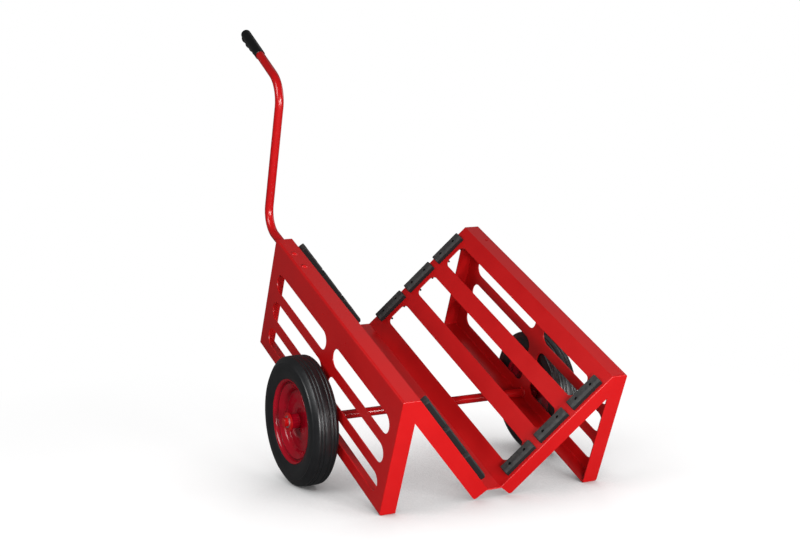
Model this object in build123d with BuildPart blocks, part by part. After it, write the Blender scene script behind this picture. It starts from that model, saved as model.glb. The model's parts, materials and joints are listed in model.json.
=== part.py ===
from build123d import *
import os
from math import asin, atan2, cos, degrees, hypot, radians, sin, tan

# Pipe cart in millimetres: a V cradle between two slotted side panels, on two wheels and two front feet.
# It is drawn level, with X forward, Y to the left and Z up from the lower edge of the panels, and is then
# set down on its wheels and the toes of its panels.

# Folded sheet frame
frame_length = 831
frame_width = 672
frame_height = 349
sheet = 3
bend_inside = 3
end_round = 2.2
strip_width = 48.5
valley_width = 40.5
flange_width = 46
flange_corner = 9

# Slots in the side panels
slot_rear_margin = 48
slot_front_margin = 41
slot_width = 57
slot_web = 46
slot_web_middle = 419
slot_pitch = 89
slot_lowest = 65
slot_rows = 3

# Pair of small holes above the slots of the right-hand panel
plate_hole_stations = (350.5, 499)
plate_hole_z = 312
plate_hole_radius = 1.8

# Rows of windows and pads, measured up the slope of each cradle plate from the valley
lowest_row = 86.6
row_pitch = 122.7
row_names = ("lower", "middle", "upper")
window_margin = 50
window_width = 72
window_corner = 20

# Rubber pads and their screws
pad_length = 103
pad_depth = 31
pad_height = 14.5
pad_setback = 8
pad_end_round = 2.5
pad_edge_round = 1.5
pad_screw_spacing = 52
recess_radius = 4.8
recess_depth = 8.5
screw_radius = 3
screw_head_radius = 4.6
screw_head_height = 4
screw_socket = 4
screw_below_plate = 33
pad_nut_size = 10
pad_nut_height = 5
screw_clearance = 0.3

# Bent tube handle, under the right-hand strip
tube_radius = 12.5
tube_wall = 2
handle_inset = 21
tube_front = 195
lower_bend_x = -114
upper_bend_x = -163
upper_bend_z = 750.5
lower_bend_radius = 68
upper_bend_radius = 83
grip_slope = 7.4
grip_start = 170
tube_exit_clearance = 1

# Rubber grip
grip_length = 130
grip_radius = 14.7
grip_end_wall = 6
grip_end_round = 9
grip_clearance = 0.05
ridge_stations = (34, 55, 79.5, 110)
ridge_heights = (3.5, 5.2, 7, 7.2)
hollow_depths = (0.5, 1, 2.7)
finger_start = 22
finger_end = 125
finger_drop = 7
finger_start_sink = 1
finger_end_sink = 2

# Domed bolts of the handle
bolt_radius = 4
bolt_stations = (86, 158)
bolt_clearance = 0.25
dome_radius = 9
dome_height = 4.5
bolt_end = 4
bolt_nut_size = 13
bolt_nut_height = 6.5

# Axle
axle_x = 416
axle_radius = 12.5
axle_tail = 11
axle_chamfer = 1.2
axle_lift = 0.4
axle_clearance = 0.1
weld_radius = 17.5
weld_length = 6
weld_round = 4
weld_clearance = 0.3

# Wheels
wheel_radius = 179
wheel_gap = 5.5
hub_length = 71
hub_radius = 20.5
bush_radius = 16
bush_length = 24
bush_flange = 2
bush_flange_radius = 19
running_clearance = 0.05
side_play = 0.3
washer_radius = 25.5
washer_thickness = 4
spacer_radius = 18

# Circlips
clip_thickness = 1.6
clip_width = 4
clip_depth = 0.8
clip_gap = 0.1
clip_opening = 34
clip_ear_radius = 3
clip_ear_hole = 1

# Pressed rim halves
rim_sheet = 2.5
rim_lip_radius = 114.5
rim_lip_reach = 33
rim_step_radius = 104.5
rim_step_reach = 22.5
rim_wall_radius = 100
rim_wall_reach = 20
rim_well_radius = 89.5
rim_seam_radius = 76
rim_cone_rise = 8
rim_bend = 3

# Solid tyre
tyre_width = 79
tread_half_width = 27
tread_crown = 1.2
bulge_radius = 141
shoulder_radius = 158
shoulder_inset = 2
groove_width = 2.6
groove_depth = 3
groove_places = (9, 19)

SIDES = {"left": 1, "right": -1}
ENDS = ("rear", "front")

# Sizes that follow from those above
half_width = frame_width / 2
axle_z = sheet + axle_lift + axle_radius
valley_height = axle_z + axle_radius + axle_clearance + sheet
ridge_y = half_width - strip_width
valley_y = valley_width / 2
slope = atan2(frame_height - valley_height, ridge_y - valley_y)
fold_shift = sheet * tan(slope / 2)
bend_outside = bend_inside + sheet
notch_y = half_width - flange_width
notch_drop = tan(slope) * (flange_width * sin(slope) + ridge_y - notch_y)
notch_z = frame_height - flange_width * cos(slope) - notch_drop
slot_middle_z = slot_lowest + slot_pitch * (slot_rows - 1) / 2
slot_spans = (
    (slot_rear_margin, slot_web_middle - slot_web / 2),
    (slot_web_middle + slot_web / 2, frame_length - slot_front_margin),
)
rows = [lowest_row + row_pitch * k for k in range(len(row_names))]
pad_places = {"rear": pad_setback + pad_depth / 2, "front": frame_length - pad_setback - pad_depth / 2}
screw_rows = [row + k * pad_screw_spacing / 2 for row in rows for k in (-1, 1)]
handle_y = -half_width + handle_inset
tube_z = frame_height - sheet - tube_radius
grip_direction = Vector(-cos(radians(grip_slope)), 0, sin(radians(grip_slope)))
grip_origin = Vector(upper_bend_x, handle_y, upper_bend_z) + grip_direction * grip_start
tube_end = grip_origin + grip_direction * (grip_length - grip_end_wall)
axle_axis = Axis((axle_x, 0, axle_z), (0, 1, 0))
wheel_middle = half_width + wheel_gap + tyre_width / 2
hub_half = hub_length / 2
tight = 0.01


def plate_plane(side, height=0.0):
    """Top face of one cradle plate: local X runs along the cart, local Y up the slope from the valley."""
    face = Plane(
        origin=(0, side * valley_y, valley_height),
        x_dir=(side, 0, 0),
        z_dir=(0, -side * sin(slope), cos(slope)),
    )
    return face.offset(height)


def upright_plane(y):
    """Plane across the cart at one Y, with local X forward and local Y up."""
    return Plane.XZ.offset(-y)


def axle_plane(side, distance):
    """Plane square to the axle, facing outward, at a distance from the middle of the cart."""
    return Plane(origin=(axle_x, side * distance, axle_z), x_dir=(side, 0, 0), z_dir=(0, side, 0))


def wheel_plane(side):
    """Plane through the axle: local X is the radius, local Y runs outward from the middle of the wheel."""
    return Plane(origin=(axle_x, side * wheel_middle, axle_z), x_dir=(1, 0, 0), z_dir=(0, 0, side))


def round_corner(section, y, z, radius):
    fillet(section.vertices().sort_by_distance((y, z))[0], radius)


def end_edges(piece):
    """Edges that lie in the two end planes of the frame."""
    edges = piece.edges()
    rear = edges.filter_by_position(Axis.X, -tight, tight)
    return rear + edges.filter_by_position(Axis.X, frame_length - tight, frame_length + tight)


def side_panel(side):
    """Slotted tray: a panel with inward flanges at its front, rear and bottom, and a flat top strip."""
    outer = side * half_width
    inner = side * (half_width - sheet)
    ridge = side * ridge_y
    ridge_inside = side * (ridge_y + fold_shift)
    flange_edge = side * notch_y
    handle_side = side == SIDES["right"]
    with BuildPart() as panel:
        with BuildSketch(Plane.YZ) as section:
            with BuildLine():
                Polyline(
                    (flange_edge, 0),
                    (outer, 0),
                    (outer, frame_height),
                    (ridge, frame_height),
                    (ridge_inside, frame_height - sheet),
                    (inner, frame_height - sheet),
                    (inner, sheet),
                    (flange_edge, sheet),
                    close=True,
                )
            make_face()
            for z in (0, frame_height):
                round_corner(section, outer, z, bend_outside)
            for z in (sheet, frame_height - sheet):
                round_corner(section, inner, z, bend_inside)
        extrude(amount=frame_length)
        for station in (0, frame_length - sheet):
            with BuildSketch(Plane.YZ.offset(station)) as flange:
                with BuildLine():
                    Polyline(
                        (flange_edge, 0),
                        (outer, 0),
                        (outer, frame_height),
                        (ridge, frame_height),
                        (ridge_inside, frame_height - sheet),
                        (flange_edge, notch_z),
                        close=True,
                    )
                make_face()
                for z in (0, frame_height):
                    round_corner(flange, outer, z, bend_outside)
                if handle_side and station == 0:
                    with Locations((handle_y, tube_z)):
                        Circle(tube_radius + tube_exit_clearance, mode=Mode.SUBTRACT)
            extrude(amount=sheet)
        with BuildSketch(upright_plane(outer)):
            for start, end in slot_spans:
                with Locations(((start + end) / 2, slot_middle_z)):
                    with GridLocations(0, slot_pitch, 1, slot_rows):
                        SlotOverall(end - start, slot_width)
            with Locations((axle_x, axle_z)):
                Circle(axle_radius + axle_clearance)
            if handle_side:
                with Locations(*[(x, plate_hole_z) for x in plate_hole_stations]):
                    Circle(plate_hole_radius)
        extrude(amount=2 * sheet, both=True, mode=Mode.SUBTRACT)
        holes = bolt_stations if handle_side else bolt_stations[:1]
        with BuildSketch(Plane.XY.offset(frame_height)):
            with Locations(*[(x, side * (half_width - handle_inset)) for x in holes]):
                Circle(bolt_radius + bolt_clearance)
        extrude(amount=2 * sheet, both=True, mode=Mode.SUBTRACT)
        outline = [
            edge
            for edge in end_edges(panel)
            if abs(edge.center().Y) > half_width - bend_outside
            or edge.center().Z > frame_height - tight
            or edge.center().Z < tight
        ]
        fillet(outline, end_round)
    return panel


def cradle_top(y):
    """Height of the cradle's upper face at a distance Y from the middle."""
    return valley_height + max(0, abs(y) - valley_y) * tan(slope)


# V cradle: two windowed plates, the valley floor between them and a flange at each end of each plate.
# The valley floor lies on the axle.
with BuildPart() as cradle:
    with BuildSketch(Plane.YZ) as cradle_section:
        with BuildLine():
            Polyline(
                (-ridge_y, frame_height),
                (-valley_y, valley_height),
                (valley_y, valley_height),
                (ridge_y, frame_height),
                (ridge_y + fold_shift, frame_height - sheet),
                (valley_y + fold_shift, valley_height - sheet),
                (-valley_y - fold_shift, valley_height - sheet),
                (-ridge_y - fold_shift, frame_height - sheet),
                close=True,
            )
        make_face()
        for side in SIDES.values():
            round_corner(cradle_section, side * valley_y, valley_height, bend_inside)
            round_corner(cradle_section, side * (valley_y + fold_shift), valley_height - sheet, bend_outside)
    extrude(amount=frame_length)
    for station in (0, frame_length - sheet):
        with BuildSketch(Plane.YZ.offset(station)) as cradle_flange:
            for side in SIDES.values():
                tip_y = side * (valley_y + flange_width * sin(slope))
                tip_z = valley_height - flange_width * cos(slope)
                with BuildLine():
                    Polyline(
                        (side * ridge_y, frame_height),
                        (side * valley_y, valley_height),
                        (tip_y, tip_z),
                        (side * notch_y, notch_z),
                        (side * (ridge_y + fold_shift), frame_height - sheet),
                        close=True,
                    )
                make_face()
                round_corner(cradle_flange, tip_y, tip_z, flange_corner)
        extrude(amount=sheet)
    for side in SIDES.values():
        with BuildSketch(plate_plane(side)):
            with Locations(*[(side * frame_length / 2, row) for row in rows]):
                RectangleRounded(frame_length - 2 * window_margin, window_width, window_corner)
            with Locations(*[(side * x, row) for x in pad_places.values() for row in screw_rows]):
                Circle(screw_radius + screw_clearance)
        extrude(amount=2 * sheet, both=True, mode=Mode.SUBTRACT)
    fillet(
        [
            edge
            for edge in end_edges(cradle)
            if abs(edge.center().Z - cradle_top(edge.center().Y)) < sheet / 2
        ],
        end_round,
    )


def rubber_pad(side, x, row):
    """Rounded block with two deep screw recesses, standing on a cradle plate."""
    screw_places = [(side * x, row + k * pad_screw_spacing / 2) for k in (-1, 1)]
    with BuildPart() as pad:
        with BuildSketch(plate_plane(side)):
            with Locations((side * x, row)):
                Rectangle(pad_depth, pad_length)
        extrude(amount=pad_height)
        top = pad.faces().sort_by(lambda face: plate_plane(side).to_local_coords(face.center()).Z)[-1]
        fillet(top.edges().filter_by(Axis.X), pad_end_round)
        top = pad.faces().sort_by(lambda face: plate_plane(side).to_local_coords(face.center()).Z)[-1]
        fillet(top.edges().filter_by(Axis.X, reverse=True), pad_edge_round)
        with BuildSketch(plate_plane(side)):
            with Locations(*screw_places):
                Circle(screw_radius + screw_clearance)
        extrude(amount=pad_height, mode=Mode.SUBTRACT)
        with BuildSketch(plate_plane(side, pad_height)):
            with Locations(*screw_places):
                Circle(recess_radius)
        extrude(amount=-recess_depth, mode=Mode.SUBTRACT)
    return pad


# Socket screws of the pads, which pass through the cradle plates, and their nuts below
with BuildPart() as pad_screws:
    for side in SIDES.values():
        places = [(side * x, row) for x in pad_places.values() for row in screw_rows]
        seat = pad_height - recess_depth
        with BuildSketch(plate_plane(side, seat)):
            with Locations(*places):
                Circle(screw_head_radius)
                RegularPolygon(screw_socket / 2, 6, major_radius=False, mode=Mode.SUBTRACT)
        extrude(amount=screw_head_height)
        with BuildSketch(plate_plane(side, seat + screw_head_height / 2)):
            with Locations(*places):
                Circle(screw_radius)
        extrude(amount=-(seat + screw_head_height / 2 + screw_below_plate))

with BuildPart() as pad_nuts:
    for side in SIDES.values():
        places = [(side * x, row) for x in pad_places.values() for row in screw_rows]
        with BuildSketch(plate_plane(side, -sheet)):
            with Locations(*places):
                RegularPolygon(pad_nut_size / 2, 6, major_radius=False)
                Circle(screw_radius + running_clearance, mode=Mode.SUBTRACT)
        extrude(amount=-pad_nut_height)

# Handle: one bent tube under the strip, drilled for its two bolts
with BuildPart() as handle_tube:
    with BuildLine(upright_plane(handle_y)) as handle_run:
        FilletPolyline(
            (tube_front, tube_z),
            (lower_bend_x, tube_z),
            (upper_bend_x, upper_bend_z),
            (tube_end.X, tube_end.Z),
            radius=[lower_bend_radius, upper_bend_radius],
        )
    with BuildSketch(Plane(origin=handle_run.line @ 0, z_dir=handle_run.line % 0)):
        Circle(tube_radius)
        Circle(tube_radius - tube_wall, mode=Mode.SUBTRACT)
    sweep(path=handle_run.line)
    with BuildSketch(Plane.XY.offset(tube_z)):
        with Locations(*[(x, handle_y) for x in bolt_stations]):
            Circle(bolt_radius + bolt_clearance)
    extrude(amount=2 * tube_radius, both=True, mode=Mode.SUBTRACT)

# Grip: a closed rubber sleeve whose underside swells into finger ridges towards its tip
grip_plane = Plane(origin=grip_origin, x_dir=grip_direction, z_dir=(0, 1, 0))
finger_origin = grip_plane.from_local_coords((0, -finger_drop, 0))
finger_plane = Plane(origin=finger_origin, x_dir=grip_direction, z_dir=(0, 1, 0))
finger_foot = grip_radius - finger_drop
hollows = [
    ((ridge_stations[k] + ridge_stations[k + 1]) / 2, min(ridge_heights[k : k + 2]) - depth)
    for k, depth in enumerate(hollow_depths)
]
waves = sorted(hollows + list(zip(ridge_stations, ridge_heights)))
with BuildPart() as handle_grip:
    with BuildSketch(grip_plane) as sleeve:
        with BuildLine():
            Polyline((0, 0), (grip_length, 0), (grip_length, grip_radius), (0, grip_radius), close=True)
        make_face()
        round_corner(sleeve, grip_length, grip_radius, grip_end_round)
    revolve(axis=Axis(grip_origin, grip_direction))
    with BuildSketch(finger_plane):
        with BuildLine():
            Spline(
                (finger_start, finger_foot - finger_start_sink),
                *[(x, finger_foot + height) for x, height in waves],
                (finger_end, finger_foot - finger_end_sink),
            )
            Polyline(
                (finger_end, finger_foot - finger_end_sink),
                (finger_end, 0),
                (finger_start, 0),
                (finger_start, finger_foot - finger_start_sink),
            )
        make_face()
    revolve(axis=Axis(finger_origin, grip_direction))
    with BuildSketch(Plane(origin=grip_origin, z_dir=grip_direction)):
        Circle(tube_radius + grip_clearance)
    extrude(amount=grip_length - grip_end_wall, mode=Mode.SUBTRACT)

# Domed bolts through the strip and the tube, and their nuts below the tube
bolt_bottom = tube_z - tube_radius - bolt_nut_height - bolt_end
with BuildPart() as handle_bolts:
    for x in bolt_stations:
        with BuildSketch(upright_plane(handle_y)):
            with BuildLine():
                Line((x, bolt_bottom), (x + bolt_radius, bolt_bottom))
                Line((x + bolt_radius, bolt_bottom), (x + bolt_radius, frame_height))
                Line((x + bolt_radius, frame_height), (x + dome_radius, frame_height))
                RadiusArc(
                    (x + dome_radius, frame_height),
                    (x, frame_height + dome_height),
                    -(dome_radius**2 + dome_height**2) / (2 * dome_height),
                )
                Line((x, frame_height + dome_height), (x, bolt_bottom))
            make_face()
        revolve(axis=Axis((x, handle_y, 0), (0, 0, 1)))

with BuildPart() as handle_nuts:
    with BuildSketch(Plane.XY.offset(tube_z - tube_radius)):
        with Locations(*[(x, handle_y) for x in bolt_stations]):
            RegularPolygon(bolt_nut_size / 2, 6, major_radius=False)
            Circle(bolt_radius + running_clearance, mode=Mode.SUBTRACT)
    extrude(amount=-bolt_nut_height)

# Stack along the axle, from each panel outward
inner_washer_end = wheel_middle - hub_half - side_play
spacer_end = inner_washer_end - washer_thickness
outer_washer_start = wheel_middle + hub_half + side_play
clip_start = outer_washer_start + washer_thickness + clip_gap
axle_half_length = clip_start + clip_thickness + axle_tail

# Axle: a round bar through both panels, grooved for its circlips
with BuildPart() as axle:
    with BuildSketch(axle_plane(1, 0)):
        Circle(axle_radius)
    extrude(amount=axle_half_length, both=True)
    chamfer(axle.faces().filter_by(Axis.Y).edges(), axle_chamfer)
    for side in SIDES.values():
        with BuildSketch(axle_plane(side, clip_start - clip_gap / 2)):
            Circle(axle_radius + clip_depth)
            Circle(axle_radius - clip_depth, mode=Mode.SUBTRACT)
        extrude(amount=clip_thickness + clip_gap, mode=Mode.SUBTRACT)


def axle_weld(side):
    """Bead of weld around the axle, inside a panel and above its bottom bend."""
    with BuildPart() as weld:
        with BuildSketch(axle_plane(side, half_width - sheet)):
            Circle(weld_radius)
            Circle(axle_radius + axle_clearance, mode=Mode.SUBTRACT)
        extrude(amount=-weld_length)
        rims = weld.edges().filter_by(GeomType.CIRCLE)
        fillet(rims.sort_by(lambda edge: (abs(edge.center().Y), -edge.radius))[0], weld_round)
        with Locations((axle_x, side * half_width, sheet + bend_inside + weld_clearance)):
            Box(
                3 * weld_radius,
                3 * weld_length,
                weld_radius,
                align=(Align.CENTER, Align.CENTER, Align.MAX),
                mode=Mode.SUBTRACT,
            )
    return weld


def axle_ring(side, start, end, radius):
    """Washer or spacer on the axle, between two distances from the middle of the cart."""
    with BuildPart() as ring:
        with BuildSketch(axle_plane(side, start)):
            Circle(radius)
            Circle(axle_radius + axle_clearance, mode=Mode.SUBTRACT)
        extrude(amount=end - start)
    return ring


def circlip(side):
    """Open spring ring with an eared gap, seated in the groove of the axle."""
    bore = axle_radius - clip_depth + running_clearance
    ear_circle = bore + clip_width - clip_ear_radius / 3
    with BuildPart() as clip:
        with BuildSketch(axle_plane(side, clip_start)):
            Circle(bore + clip_width)
            Circle(bore, mode=Mode.SUBTRACT)
            with BuildLine():
                reach = 2 * (bore + clip_width)
                spread = radians(clip_opening / 2)
                Polyline(
                    (0, 0),
                    (reach * sin(spread), -reach * cos(spread)),
                    (-reach * sin(spread), -reach * cos(spread)),
                    close=True,
                )
            make_face(mode=Mode.SUBTRACT)
            ear_angle = spread + clip_ear_radius / ear_circle
            ear_x = ear_circle * sin(ear_angle)
            ear_y = -ear_circle * cos(ear_angle)
            with Locations((ear_x, ear_y), (-ear_x, ear_y)):
                Circle(clip_ear_radius)
                Circle(clip_ear_hole, mode=Mode.SUBTRACT)
            Circle(bore, mode=Mode.SUBTRACT)
        extrude(amount=clip_thickness)
    return clip


# Section of the outer rim half: hub cone, seam ring, well wall, step and flared lip
with BuildSketch() as rim_half:
    with BuildLine():
        FilletPolyline(
            (hub_radius - rim_sheet, rim_sheet + rim_cone_rise),
            (rim_seam_radius, rim_sheet),
            (rim_well_radius, rim_sheet),
            (rim_wall_radius, rim_wall_reach),
            (rim_step_radius, rim_step_reach),
            (rim_lip_radius, rim_lip_reach),
            radius=rim_bend,
        )
        offset(amount=rim_sheet, side=Side.RIGHT)
    make_face()
    Rectangle(2 * hub_radius, tyre_width, mode=Mode.SUBTRACT)

# Section of the tyre: it fills the well behind the rim, bulges at its sides and has a ribbed tread
tyre_half = tyre_width / 2
tread_edge = wheel_radius - tread_crown
tuck = 0.4 * rim_sheet
with BuildSketch() as tyre_section:
    with BuildLine() as tyre_outline:
        Polyline(
            (rim_well_radius + tuck, 0),
            (rim_well_radius + tuck, rim_sheet - tuck),
            (rim_wall_radius + tuck, rim_wall_reach - tuck),
            (rim_step_radius + tuck, rim_step_reach - tuck),
            (rim_lip_radius + tuck, rim_lip_reach - tuck),
        )
        ThreePointArc(
            (rim_lip_radius + tuck, rim_lip_reach - tuck),
            (bulge_radius, tyre_half),
            (shoulder_radius, tyre_half - shoulder_inset),
        )
        Spline(
            (shoulder_radius, tyre_half - shoulder_inset),
            (tread_edge, tread_half_width),
            tangents=(tyre_outline.line % 1, (0.35, -1)),
        )
        ThreePointArc(
            (tread_edge, tread_half_width),
            (wheel_radius - tread_crown / 4, tread_half_width / 2),
            (wheel_radius, 0),
        )
        mirror(about=Plane.XZ)
    make_face()
    add(rim_half.sketch, mode=Mode.SUBTRACT)
    mirror(rim_half.sketch, about=Plane.XZ, mode=Mode.SUBTRACT)
    with Locations(*[(wheel_radius, k * place) for place in groove_places for k in (-1, 1)]):
        Rectangle(2 * groove_depth, groove_width, mode=Mode.SUBTRACT)


def turned(side, section):
    """Solid of revolution about the axle, from a section drawn in radius and outward reach."""
    with BuildPart() as piece:
        with BuildSketch(wheel_plane(side)):
            add(section.sketch)
        revolve(axis=axle_axis)
    return piece


with BuildSketch() as rim_inner_half:
    mirror(rim_half.sketch, about=Plane.XZ)

bush_seat = hub_half - bush_flange
with BuildSketch() as hub_section:
    with Locations(((hub_radius + bush_radius) / 2, 0)):
        Rectangle(hub_radius - bush_radius, 2 * bush_seat)

bush_bore = axle_radius + running_clearance
with BuildSketch() as outer_bush_section:
    with BuildLine():
        Polyline(
            (bush_bore, hub_half),
            (bush_flange_radius, hub_half),
            (bush_flange_radius, bush_seat),
            (bush_radius, bush_seat),
            (bush_radius, hub_half - bush_length),
            (bush_bore, hub_half - bush_length),
            close=True,
        )
    make_face()

with BuildSketch() as inner_bush_section:
    mirror(outer_bush_section.sketch, about=Plane.XZ)

pieces = {
    "cradle": cradle,
    "pad_screws": pad_screws,
    "pad_nuts": pad_nuts,
    "handle_tube": handle_tube,
    "handle_grip": handle_grip,
    "handle_bolts": handle_bolts,
    "handle_nuts": handle_nuts,
    "axle": axle,
}
for hand, side in SIDES.items():
    pieces[f"{hand}_side_panel"] = side_panel(side)
    for end in ENDS:
        for name, row in zip(row_names, rows):
            pieces[f"{hand}_{end}_{name}_pad"] = rubber_pad(side, pad_places[end], row)
    pieces[f"{hand}_axle_weld"] = axle_weld(side)
    pieces[f"{hand}_axle_spacer"] = axle_ring(side, half_width, spacer_end, spacer_radius)
    pieces[f"{hand}_inner_washer"] = axle_ring(side, spacer_end, inner_washer_end, washer_radius)
    pieces[f"{hand}_outer_washer"] = axle_ring(
        side, outer_washer_start, outer_washer_start + washer_thickness, washer_radius
    )
    pieces[f"{hand}_circlip"] = circlip(side)
    pieces[f"{hand}_tyre"] = turned(side, tyre_section)
    pieces[f"{hand}_outer_rim"] = turned(side, rim_half)
    pieces[f"{hand}_inner_rim"] = turned(side, rim_inner_half)
    pieces[f"{hand}_hub"] = turned(side, hub_section)
    pieces[f"{hand}_outer_bush"] = turned(side, outer_bush_section)
    pieces[f"{hand}_inner_bush"] = turned(side, inner_bush_section)

# The cart stands nose down, on its tyres and the rounded toes of its side panels
toe_reach = frame_length - end_round - axle_x
toe_drop = axle_z - end_round
tilt = asin((wheel_radius - end_round) / hypot(toe_reach, toe_drop)) - atan2(toe_drop, toe_reach)
rise = wheel_radius + axle_x * sin(tilt) - axle_z * cos(tilt)
tilted = Location((0, 0, rise), (0, degrees(tilt), 0))
length_span = Compound(children=[piece.part.moved(tilted) for piece in pieces.values()]).bounding_box()
standing = Location((-length_span.center().X, 0, rise), (0, degrees(tilt), 0))

os.makedirs("parts", exist_ok=True)
for name, piece in pieces.items():
    placed = piece.part.moved(standing)
    placed.label = name
    export_step(placed, f"parts/{name}.step")
axle_middle = (standing * Location((axle_x, 0, axle_z))).position
print("tilt in degrees", round(degrees(tilt), 4), "axle middle", axle_middle)
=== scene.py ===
"""Pipe cart: finishes, rubber pieces, rims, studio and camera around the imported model, in metres."""

import json
import math

import bmesh
import bpy
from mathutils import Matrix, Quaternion, Vector, noise


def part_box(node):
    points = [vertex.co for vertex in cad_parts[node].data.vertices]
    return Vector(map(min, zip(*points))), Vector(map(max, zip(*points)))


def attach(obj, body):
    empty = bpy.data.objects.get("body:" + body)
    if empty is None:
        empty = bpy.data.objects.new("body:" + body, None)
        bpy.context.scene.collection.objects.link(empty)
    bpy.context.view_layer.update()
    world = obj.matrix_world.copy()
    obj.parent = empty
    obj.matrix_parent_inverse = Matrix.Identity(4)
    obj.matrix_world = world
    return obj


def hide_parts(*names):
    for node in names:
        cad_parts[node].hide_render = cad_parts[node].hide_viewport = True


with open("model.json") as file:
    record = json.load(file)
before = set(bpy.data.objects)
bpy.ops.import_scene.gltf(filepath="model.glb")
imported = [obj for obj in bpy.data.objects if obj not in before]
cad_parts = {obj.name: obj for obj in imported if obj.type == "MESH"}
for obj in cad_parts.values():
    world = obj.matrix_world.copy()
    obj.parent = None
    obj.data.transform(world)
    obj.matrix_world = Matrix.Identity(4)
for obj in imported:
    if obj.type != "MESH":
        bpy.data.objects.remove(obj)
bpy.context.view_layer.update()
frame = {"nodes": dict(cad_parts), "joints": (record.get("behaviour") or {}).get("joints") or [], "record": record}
nodes = frame["nodes"]
mm = 0.001

# What the pieces below need to know: the mounts, the middles of the wheels and the way that the frame points
mounts = {mount["name"]: mount for mount in frame["record"]["mounts"]}
hinges = {joint["child"]: Vector(joint["pos_m"]) for joint in frame["joints"]}
forward = Vector(mounts["left_strip_face"]["axis"]).cross(Vector((0, 1, 0))) * -1


def linear(code):
    """Linear colour of an sRGB hex code."""
    parts = [int(code[k : k + 2], 16) / 255 for k in (1, 3, 5)]
    return [c / 12.92 if c <= 0.04045 else ((c + 0.055) / 1.055) ** 2.4 for c in parts] + [1.0]


def add_node(tree, kind, sockets=(), **settings):
    """Add a node, give it its settings, and fill its sockets with values or with other nodes' outputs."""
    made = tree.nodes.new(kind)
    for name, value in settings.items():
        setattr(made, name, value)
    for name, value in dict(sockets).items():
        if isinstance(value, bpy.types.NodeSocket):
            tree.links.new(value, made.inputs[name])
        else:
            made.inputs[name].default_value = value
    return made


def start_material(name):
    """Empty material with its output, and the object's own coordinates in metres."""
    material = bpy.data.materials.new(name)
    material.use_nodes = True
    tree = material.node_tree
    tree.nodes.clear()
    output = add_node(tree, "ShaderNodeOutputMaterial")
    place = add_node(tree, "ShaderNodeTexCoord").outputs["Object"]
    return material, tree, output, place


def powder_coat(name, light, deep, gloss, crease_shade_reach=0):
    """Coat baked on steel: an even red skin with a faint orange peel, and painted shade that darkens its creases.
    """
    drift_size, peel_size, peel_height, gloss_spread = 90 * mm, 3 * mm, 0.15 * mm, 0.03
    material, tree, output, place = start_material(name)
    drift = add_node(tree, "ShaderNodeTexNoise", {"Vector": place, "Scale": 1 / drift_size, "Detail": 3.0})
    tone = add_node(tree, "ShaderNodeValToRGB", {"Fac": drift.outputs["Fac"]})
    dark_stop, light_stop = tone.color_ramp.elements
    dark_stop.position, dark_stop.color = 0.35, linear(deep)
    light_stop.position, light_stop.color = 0.65, linear(light)
    peel = add_node(tree, "ShaderNodeTexNoise", {"Vector": place, "Scale": 1 / peel_size, "Detail": 1.0})
    sheen = add_node(
        tree,
        "ShaderNodeMapRange",
        {
            "Value": drift.outputs["Fac"],
            "From Min": 0.3,
            "From Max": 0.7,
            "To Min": gloss - gloss_spread,
            "To Max": gloss + gloss_spread,
        },
    )
    ripple = add_node(
        tree, "ShaderNodeBump", {"Height": peel.outputs["Fac"], "Strength": 0.06, "Distance": peel_height}
    )
    colour = tone.outputs["Color"]
    # Painted shade: an occlusion test darkens the coat's colour in its creases
    if crease_shade_reach:
        crease_shade_settings = {"Color": colour, "Distance": crease_shade_reach}
        painted_crease_shade = add_node(tree, "ShaderNodeAmbientOcclusion", crease_shade_settings, samples=8, only_local=True)
        colour = painted_crease_shade.outputs["Color"]
    paint = add_node(
        tree,
        "ShaderNodeBsdfPrincipled",
        {
            "Base Color": colour,
            "Roughness": sheen.outputs["Result"],
            "IOR": 1.5,
            "Normal": ripple.outputs["Normal"],
        },
    )
    tree.links.new(paint.outputs["BSDF"], output.inputs["Surface"])
    return material


def rubber(name, light, deep, roughness, patch, grain, relief):
    """Moulded rubber or nylon: black, satin and slightly mottled, its grain drawn coarse enough to show."""
    roughness_spread = 0.06
    material, tree, output, place = start_material(name)
    mottle = add_node(
        tree, "ShaderNodeTexNoise", {"Vector": place, "Scale": 1 / patch, "Detail": 5.0, "Roughness": 0.6}
    )
    tone = add_node(tree, "ShaderNodeValToRGB", {"Fac": mottle.outputs["Fac"]})
    dark_stop, light_stop = tone.color_ramp.elements
    dark_stop.position, dark_stop.color = 0.36, linear(deep)
    light_stop.position, light_stop.color = 0.64, linear(light)
    pores = add_node(tree, "ShaderNodeTexNoise", {"Vector": place, "Scale": 1 / grain, "Detail": 3.0})
    dull = add_node(
        tree,
        "ShaderNodeMapRange",
        {
            "Value": mottle.outputs["Fac"],
            "From Min": 0.3,
            "From Max": 0.7,
            "To Min": roughness - roughness_spread,
            "To Max": roughness + roughness_spread,
        },
    )
    skin = add_node(
        tree, "ShaderNodeBump", {"Height": pores.outputs["Fac"], "Strength": 0.3, "Distance": relief}
    )
    shader = add_node(
        tree,
        "ShaderNodeBsdfPrincipled",
        {
            "Base Color": tone.outputs["Color"],
            "Roughness": dull.outputs["Result"],
            "IOR": 1.6,
            "Normal": skin.outputs["Normal"],
        },
    )
    tree.links.new(shader.outputs["BSDF"], output.inputs["Surface"])
    return material


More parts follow.
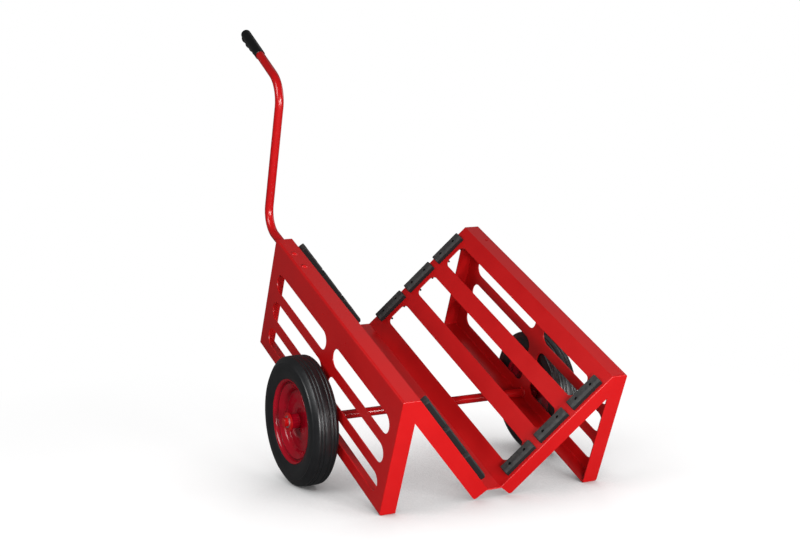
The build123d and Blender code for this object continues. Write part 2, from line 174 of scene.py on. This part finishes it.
def shaded_cut_rubber(name, light, deep, painted_side_shade):
    """Cut rubber sheet: dull and mottled with stains, with painted light making upward faces paler and painted
    shade darkening the cut sides.
    """
    stain_size, grain_size, grain_height = 11 * mm, 0.9 * mm, 0.25 * mm
    material, tree, output, place = start_material(name)
    mottle = add_node(
        tree,
        "ShaderNodeTexNoise",
        {"Vector": place, "Scale": 1 / stain_size, "Detail": 6.0, "Roughness": 0.65},
    )
    stained_top = add_node(tree, "ShaderNodeValToRGB", {"Fac": mottle.outputs["Fac"]})
    dark_stop, light_stop = stained_top.color_ramp.elements
    dark_stop.position, dark_stop.color = 0.34, linear(deep)
    light_stop.position, light_stop.color = 0.66, linear(light)
    surface = add_node(tree, "ShaderNodeNewGeometry")
    facing = add_node(tree, "ShaderNodeSeparateXYZ", {0: surface.outputs["Normal"]})
    # Painted light and shade: faces pointing up take the pale stained tone, faces pointing sideways take a dark
    # painted shade
    painted_top_light = add_node(
        tree, "ShaderNodeMapRange", {"Value": facing.outputs["Z"], "From Min": -0.1, "From Max": 0.3}
    )
    tone = add_node(
        tree,
        "ShaderNodeMix",
        {"Factor": painted_top_light.outputs["Result"], "A": linear(painted_side_shade), "B": stained_top.outputs["Color"]},
        data_type="RGBA",
    )
    grain = add_node(tree, "ShaderNodeTexNoise", {"Vector": place, "Scale": 1 / grain_size, "Detail": 3.0})
    skin = add_node(
        tree, "ShaderNodeBump", {"Height": grain.outputs["Fac"], "Strength": 0.3, "Distance": grain_height}
    )
    shader = add_node(
        tree,
        "ShaderNodeBsdfPrincipled",
        {
            "Base Color": tone.outputs["Result"],
            "Roughness": 0.8,
            "Specular IOR Level": 0.3,
            "Normal": skin.outputs["Normal"],
        },
    )
    tree.links.new(shader.outputs["BSDF"], output.inputs["Surface"])
    return material


def bright_steel(name, light, deep, roughness):
    """Plated, blackened or spring steel: metal with a faint cloudy bloom."""
    bloom_size, roughness_spread = 4 * mm, 0.08
    material, tree, output, place = start_material(name)
    bloom = add_node(tree, "ShaderNodeTexNoise", {"Vector": place, "Scale": 1 / bloom_size, "Detail": 4.0})
    tone = add_node(tree, "ShaderNodeValToRGB", {"Fac": bloom.outputs["Fac"]})
    dark_stop, light_stop = tone.color_ramp.elements
    dark_stop.position, dark_stop.color = 0.3, linear(deep)
    light_stop.position, light_stop.color = 0.7, linear(light)
    satin = add_node(
        tree,
        "ShaderNodeMapRange",
        {
            "Value": bloom.outputs["Fac"],
            "To Min": roughness - roughness_spread,
            "To Max": roughness + roughness_spread,
        },
    )
    metal = add_node(
        tree,
        "ShaderNodeBsdfPrincipled",
        {"Base Color": tone.outputs["Color"], "Metallic": 1.0, "Roughness": satin.outputs["Result"]},
    )
    tree.links.new(metal.outputs["BSDF"], output.inputs["Surface"])
    return material


# Coats: light and deep tone, roughness, and for the rims the reach of the painted shade that darkens their creases
sheet_coat = powder_coat("red_powder_coat_on_sheet_steel", "#C21012", "#BD0E11", 0.34)
tube_coat = powder_coat("red_powder_coat_on_tube", "#BE0F12", "#B80D11", 0.2)
rim_coat = powder_coat("red_enamel_on_pressed_rims", "#A80A20", "#9F081E", 0.16, 16 * mm)
# Mouldings: light and deep tone, roughness, then the size of the mottling, of the grain and of its relief
tyre_rubber = rubber("solid_rubber_tyre", "#17181A", "#111214", 0.37, 40 * mm, 1.2 * mm, 0.05 * mm)
grip_rubber = rubber("moulded_rubber_grip", "#0A0A0B", "#060607", 0.22, 20 * mm, 0.8 * mm, 0.05 * mm)
bush_nylon = rubber("oil_filled_nylon_bushes", "#232325", "#1B1B1D", 0.45, 20 * mm, 0.6 * mm, 0.05 * mm)
# Pads: pale and deep stain tones of the tops, which carry painted light, then the dark painted shade of the sides
pad_rubber = shaded_cut_rubber("cut_rubber_pads", "#40403F", "#2D2E2F", "#171718")
zinc_plate = bright_steel("zinc_plated_nuts", "#C4C6C8", "#A6A9AC", 0.38)
black_oxide = bright_steel("black_oxide_screws", "#3A3B3E", "#2A2B2E", 0.5)
spring_steel = bright_steel("bright_spring_steel_clips", "#D2D4D6", "#B4B6B9", 0.45)

finishes = {
    "red_paint": sheet_coat,
    "pad_rubber": pad_rubber,
    "grip_rubber": grip_rubber,
    "tyre_rubber": tyre_rubber,
    "zinc_steel": zinc_plate,
    "spring_steel": spring_steel,
    "bush_plastic": bush_nylon,
}
slots = {piece["node"]: piece["material_slot"] for piece in frame["record"]["subparts"]}
for name, piece in nodes.items():
    finish = finishes[slots[name]]
    if name.endswith(("_tube", "axle", "_weld")):
        finish = tube_coat
    elif name.endswith(("_rim", "_hub")):
        finish = rim_coat
    elif name == "pad_screws":
        finish = black_oxide
    piece.data.materials.clear()
    piece.data.materials.append(finish)


def place_piece(name, mesh, finish, slot, body, *stands_for):
    """Put a mesh on the cart as a piece that stands for CAD nodes and moves with a body."""
    piece = bpy.data.objects.new(name, mesh)
    bpy.context.scene.collection.objects.link(piece)
    mesh.materials.clear()
    mesh.materials.append(finish)
    mesh.shade_smooth()
    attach(piece, body)
    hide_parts(*stands_for)


def fine_skin(name, voxel, passes):
    """Closed fine mesh over a CAD node, with its edges eased."""
    weld_distance = 0.001 * mm
    rough = bpy.data.objects.new("rough_" + name, nodes[name].data.copy())
    bpy.context.scene.collection.objects.link(rough)
    welded = bmesh.new()
    welded.from_mesh(rough.data)
    bmesh.ops.remove_doubles(welded, verts=welded.verts, dist=weld_distance)
    welded.to_mesh(rough.data)
    welded.free()
    skin = rough.modifiers.new("skin", "REMESH")
    skin.mode, skin.voxel_size = "VOXEL", voxel
    ease = rough.modifiers.new("ease", "SMOOTH")
    ease.factor, ease.iterations = 0.5, passes
    mesh = bpy.data.meshes.new_from_object(rough.evaluated_get(bpy.context.evaluated_depsgraph_get()))
    bpy.data.objects.remove(rough)
    return mesh


def rubber_pad(name, normal):
    """Cut rubber block: a flat top, a front with a bevel and a waist, and dimples at its screws."""
    # The solid block that it is shaped from, and the height below which its seat stays as it is
    half_length, half_depth, block_height, seat_height = 51.5 * mm, 15.5 * mm, 14.5 * mm, 7 * mm
    # The new top with its bevel and rounded ends, and how far the plain middle strip reaches to each side
    top_height, bevel_slope, end_round, plain_half = 17.5 * mm, 0.42, 1.5 * mm, 6 * mm
    # What comes off the front and the rear, the waist along the foot of the front, and the growth in length
    trim, waist_depth, waist_share, growth = 1 * mm, 1 * mm, 0.6, 0.02
    # Waves of the cut face, and round each screw a dimple and a mouth that the rubber narrows
    wave_height, wave_size = 0.25 * mm, 16 * mm
    screws, dimple_depth, dimple_width = (-26 * mm, 26 * mm), 0.5 * mm, 8 * mm
    mouth_closing, mouth_reach = 0.9, 9 * mm
    up_slope = normal.cross(forward)
    low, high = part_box(name)
    middle = (low + high) / 2
    mesh = fine_skin(name, 0.9 * mm, 1)
    for point in mesh.vertices:
        away = point.co - middle
        along, across = away.dot(up_slope), away.dot(forward)
        height = away.dot(normal) + block_height / 2
        outward = max(0, abs(across) - plain_half) / (half_depth - plain_half)
        shift = trim * outward
        if across > 0:
            shift = -shift - waist_depth * outward * max(0, 1 - height / (waist_share * block_height))
        rise = 0
        if height > seat_height:
            top = top_height - bevel_slope * max(0, across + shift - plain_half)
            from_end = max(0, end_round - half_length + abs(along))
            top -= end_round - math.sqrt(max(0, end_round**2 - from_end**2))
            top += wave_height * noise.noise(point.co / wave_size)
            for screw in screws:
                reach = math.hypot(across, along - screw)
                top -= dimple_depth * math.exp(-((reach / dimple_width) ** 2))
            share = (height - seat_height) / (block_height - seat_height)
            rise = seat_height + share * (top - seat_height) - height
            for screw in screws:
                reach = math.hypot(across, along - screw)
                pinch = mouth_closing * max(0, share - 0.5) * max(0, 1 - reach / mouth_reach)
                point.co -= pinch * (forward * across + up_slope * (along - screw))
        point.co += normal * rise + forward * shift + up_slope * along * growth
    place_piece("rubber_" + name, mesh, pad_rubber, "pad_rubber", "frame", name)


for hand in ("left", "right"):
    pad_normal = Vector(mounts[hand + "_pad_face"]["axis"])
    for end in ("rear", "front"):
        for level in ("lower", "middle", "upper"):
            rubber_pad(f"{hand}_{end}_{level}_pad", pad_normal)


def spun(name, hand, half_section, finish, slot, *stands_for):
    """Piece turned about the axle from half of its section, as radius and outward reach in millimetres."""
    section = half_section + [(radius, -reach) for radius, reach in reversed(half_section) if reach]
    turns, count = 192, len(section)
    points, faces = [], []
    for turn in range(turns):
        angle = 2 * math.pi * turn / turns
        here, after = turn * count, (turn + 1) % turns * count
        for k, (radius, reach) in enumerate(section):
            offset = Vector((radius * math.cos(angle), reach, radius * math.sin(angle)))
            points.append(hinges[hand + "_wheel"] + offset * mm)
            beyond = (k + 1) % count
            faces.append((here + k, here + beyond, after + beyond, after + k))
    mesh = bpy.data.meshes.new(name)
    mesh.from_pydata(points, [], faces)
    skin = bmesh.new()
    skin.from_mesh(mesh)
    bmesh.ops.recalc_face_normals(skin, faces=skin.faces)
    skin.to_mesh(mesh)
    skin.free()
    place_piece(name, mesh, finish, slot, hand + "_wheel", *stands_for)


def solid_tyre(hand):
    """Solid rubber tyre: full sidewalls with a raised ring, firm shoulders and a softly grooved tread."""
    seat = [(91.4, 0), (103.8, 16.2), (108.5, 17.0), (116.8, 30.8)]
    bulge_radius, bulge_reach, bulge_curve = 144.5, 39.6, 0.009
    sidewall = []
    for radius in range(116, 160, 2):
        sidewall.append((radius, bulge_reach - bulge_curve * (radius - bulge_radius) ** 2))
    side_ring = [(158.8, 37.9), (159.4, 38.2), (160.2, 38.3), (161.0, 37.9), (161.5, 37.0)]
    shoulder = [(165.3, 34.9), (169.2, 32.6), (173.0, 30.0), (176.2, 27.5), (177.3, 26.4), (177.8, 25.3)]
    # The crowned tread, with grooves given as distance from their middle and share of their depth
    crown_radius, crown, tread_half, groove_depth, groove_places = 179, 1.2, 27, 2.4, (19, 9)
    groove_side = [(3.4, 0), (2.4, 0.06), (1.8, 0.25), (1.2, 0.65), (0.6, 0.93), (0, 1)]
    groove = groove_side + [(-away, share) for away, share in reversed(groove_side[:-1])]
    tread = []
    for groove_place in groove_places:
        for away, share in groove:
            reach = groove_place + away
            tread.append((crown_radius - crown * (reach / tread_half) ** 2 - groove_depth * share, reach))
    tread.append((crown_radius, 0))
    section = seat + sidewall + side_ring + shoulder + tread
    spun("solid_" + hand + "_tyre", hand, section, tyre_rubber, "tyre_rubber", hand + "_tyre")


def pressed_rim(hand):
    """Pressed steel rim: hub cones, a flat seam ring, a deep well, a crease and a rolled lip."""
    # Corners of the face: radius, outward reach, and how far the bend reaches along its two sides
    corners = [
        (20.5, 10.2, 0),  # cone, at the hub
        (61, 1.8, 5),  # seam ring, inside
        (83.5, 1.8, 2),  # seam ring, outside
        (88.6, 13.2, 3),  # well
        (102.4, 22.4, 1.0),  # edge over the crease
        (106.6, 19.4, 1.4),  # crease
        (109.8, 28.1, 2.5),  # flange
        (114.5, 33.1, 0),  # lip
    ]
    lip = [(115.4, 33.3), (116.2, 32.8), (116.2, 31.2)]
    back = [(108.0, 17.4), (103.2, 16.6), (90.6, 0)]
    bend_steps = 6
    face = [corners[0][:2]]
    for before, corner, after in zip(corners, corners[1:], corners[2:]):
        bend, reach = Vector(corner[:2]), corner[2]
        into = bend + (Vector(before[:2]) - bend).normalized() * reach
        out = bend + (Vector(after[:2]) - bend).normalized() * reach
        for step in range(bend_steps + 1):
            share = step / bend_steps
            face.append(tuple(into.lerp(bend, share).lerp(bend.lerp(out, share), share)))
    face.append(corners[-1][:2])
    halves = (hand + "_outer_rim", hand + "_inner_rim")
    spun("pressed_" + hand + "_rim", hand, face + lip + back, rim_coat, "red_paint", *halves)


for hand in ("left", "right"):
    solid_tyre(hand)
    pressed_rim(hand)
grip_mesh = fine_skin("handle_grip", 0.7 * mm, 2)
place_piece("finger_grip", grip_mesh, grip_rubber, "grip_rubber", "frame", "handle_grip")


# Studio: a pale floor that keeps the shadow, a white surround and soft lamps.
# The camera sees floor and surround as white, while the paint mirrors the dimmer room behind the lamps.
floor_half = 2.6
floor_corners = [(x * floor_half, y * floor_half, 0) for x, y in ((-1, -1), (1, -1), (1, 1), (-1, 1))]
floor_mesh = bpy.data.meshes.new("floor")
floor_mesh.from_pydata(floor_corners, [], [(0, 1, 2, 3)])
floor = bpy.data.objects.new("floor", floor_mesh)
bpy.context.scene.collection.objects.link(floor)
paper, tree, output, place = start_material("white_paper_floor")
# Near the cart the paper is lit by the lamps and glows, and an occlusion test darkens that glow into a painted
# shadow under the cart; further out it is plain white
lit = add_node(tree, "ShaderNodeBsdfDiffuse", {"Color": (0.45, 0.45, 0.45, 1)})
painted_floor_shadow = add_node(tree, "ShaderNodeAmbientOcclusion", {"Distance": 0.42}, samples=8)
glow_with_painted_shadow = add_node(
    tree,
    "ShaderNodeMapRange",
    {"Value": painted_floor_shadow.outputs["AO"], "From Min": 0.16, "From Max": 0.95, "To Max": 0.72},
)
lift = add_node(tree, "ShaderNodeEmission", {"Color": (1, 1, 1, 1), "Strength": glow_with_painted_shadow.outputs["Result"]})
near = add_node(tree, "ShaderNodeAddShader", {0: lit.outputs["BSDF"], 1: lift.outputs["Emission"]})
white = add_node(tree, "ShaderNodeEmission", {"Color": (1, 1, 1, 1), "Strength": 1.0})
far = add_node(tree, "ShaderNodeVectorMath", {0: place}, operation="LENGTH")
fade = add_node(
    tree, "ShaderNodeMapRange", {"Value": far.outputs["Value"], "From Min": 0.8, "From Max": 1.8}
)
seen = add_node(
    tree,
    "ShaderNodeMixShader",
    {0: fade.outputs["Result"], 1: near.outputs["Shader"], 2: white.outputs["Emission"]},
)
grey = add_node(tree, "ShaderNodeBsdfDiffuse", {"Color": linear("#707070")})
path = add_node(tree, "ShaderNodeLightPath")
sheet = add_node(
    tree,
    "ShaderNodeMixShader",
    {0: path.outputs["Is Camera Ray"], 1: grey.outputs["BSDF"], 2: seen.outputs["Shader"]},
)
tree.links.new(sheet.outputs["Shader"], output.inputs["Surface"])
floor_mesh.materials.append(paper)

world = bpy.data.worlds.new("white_studio")
bpy.context.scene.world = world
world.use_nodes = True
sky = world.node_tree
sky.nodes.clear()
path = add_node(sky, "ShaderNodeLightPath")
mirror_ray = add_node(
    sky,
    "ShaderNodeMath",
    {0: path.outputs["Is Glossy Ray"], 1: path.outputs["Is Transmission Ray"]},
    operation="MAXIMUM",
)
room = add_node(
    sky, "ShaderNodeMapRange", {"Value": mirror_ray.outputs["Value"], "To Min": 0.05, "To Max": 0.1}
)
dim = add_node(sky, "ShaderNodeBackground", {"Color": (1, 1, 1, 1), "Strength": room.outputs["Result"]})
bright = add_node(sky, "ShaderNodeBackground", {"Color": (1, 1, 1, 1), "Strength": 1.0})
pick = add_node(
    sky,
    "ShaderNodeMixShader",
    {0: path.outputs["Is Camera Ray"], 1: dim.outputs["Background"], 2: bright.outputs["Background"]},
)
add_node(sky, "ShaderNodeOutputWorld", {"Surface": pick.outputs["Shader"]})


def softbox(name, azimuth, elevation, width, power, mirrored=True):
    """Square softbox that stands off from the middle of the cart and is turned towards it."""
    middle, stand_off = Vector((0.1, 0, 0.3)), 3
    turn, rise = math.radians(azimuth), math.radians(elevation)
    way = Vector((math.cos(turn) * math.cos(rise), math.sin(turn) * math.cos(rise), math.sin(rise)))
    lamp = bpy.data.lights.new(name, "AREA")
    lamp.shape, lamp.size, lamp.energy = "SQUARE", width, power
    holder = bpy.data.objects.new(name, lamp)
    holder.location = middle + stand_off * way
    holder.rotation_euler = (-way).to_track_quat("-Z", "Y").to_euler()
    holder.visible_glossy = mirrored
    bpy.context.scene.collection.objects.link(holder)


# Azimuth and elevation in degrees, width and watts. The rear lamp only fills the sides that the others leave
# dark, and the weak top lamp gives the top strips their pale sheen.
softbox("front_right_softbox", -16, 3, 0.6, 50)
softbox("front_softbox", 5, 12, 0.6, 36)
softbox("front_left_softbox", 25, 3, 0.6, 30)
softbox("near_softbox", -44, 6, 0.6, 14)
softbox("right_softbox", -80, 32, 1.3, 36)
softbox("rear_softbox", 148, 12, 1.2, 46, mirrored=False)
softbox("left_softbox", 98, 26, 1.2, 12)
softbox("top_softbox", 132, 54, 1.4, 1.8)

# Camera at the photograph's viewpoint, worked out from the frame's edges
camera = bpy.data.cameras.new("camera")
camera.sensor_width, camera.lens = 36.0, 67.908
viewpoint = bpy.data.objects.new("camera", camera)
viewpoint.location = (3.68426, -2.0275, 1.11575)
aim = Vector((-0.87536, 0.46427, -0.13491)).to_track_quat("-Z", "Y")
lean = Quaternion((0, 0, 1), math.radians(-0.593))
viewpoint.rotation_euler = (aim @ lean).to_euler()
bpy.context.scene.collection.objects.link(viewpoint)
bpy.context.scene.camera = viewpoint
bpy.context.scene.view_settings.view_transform = "Standard"
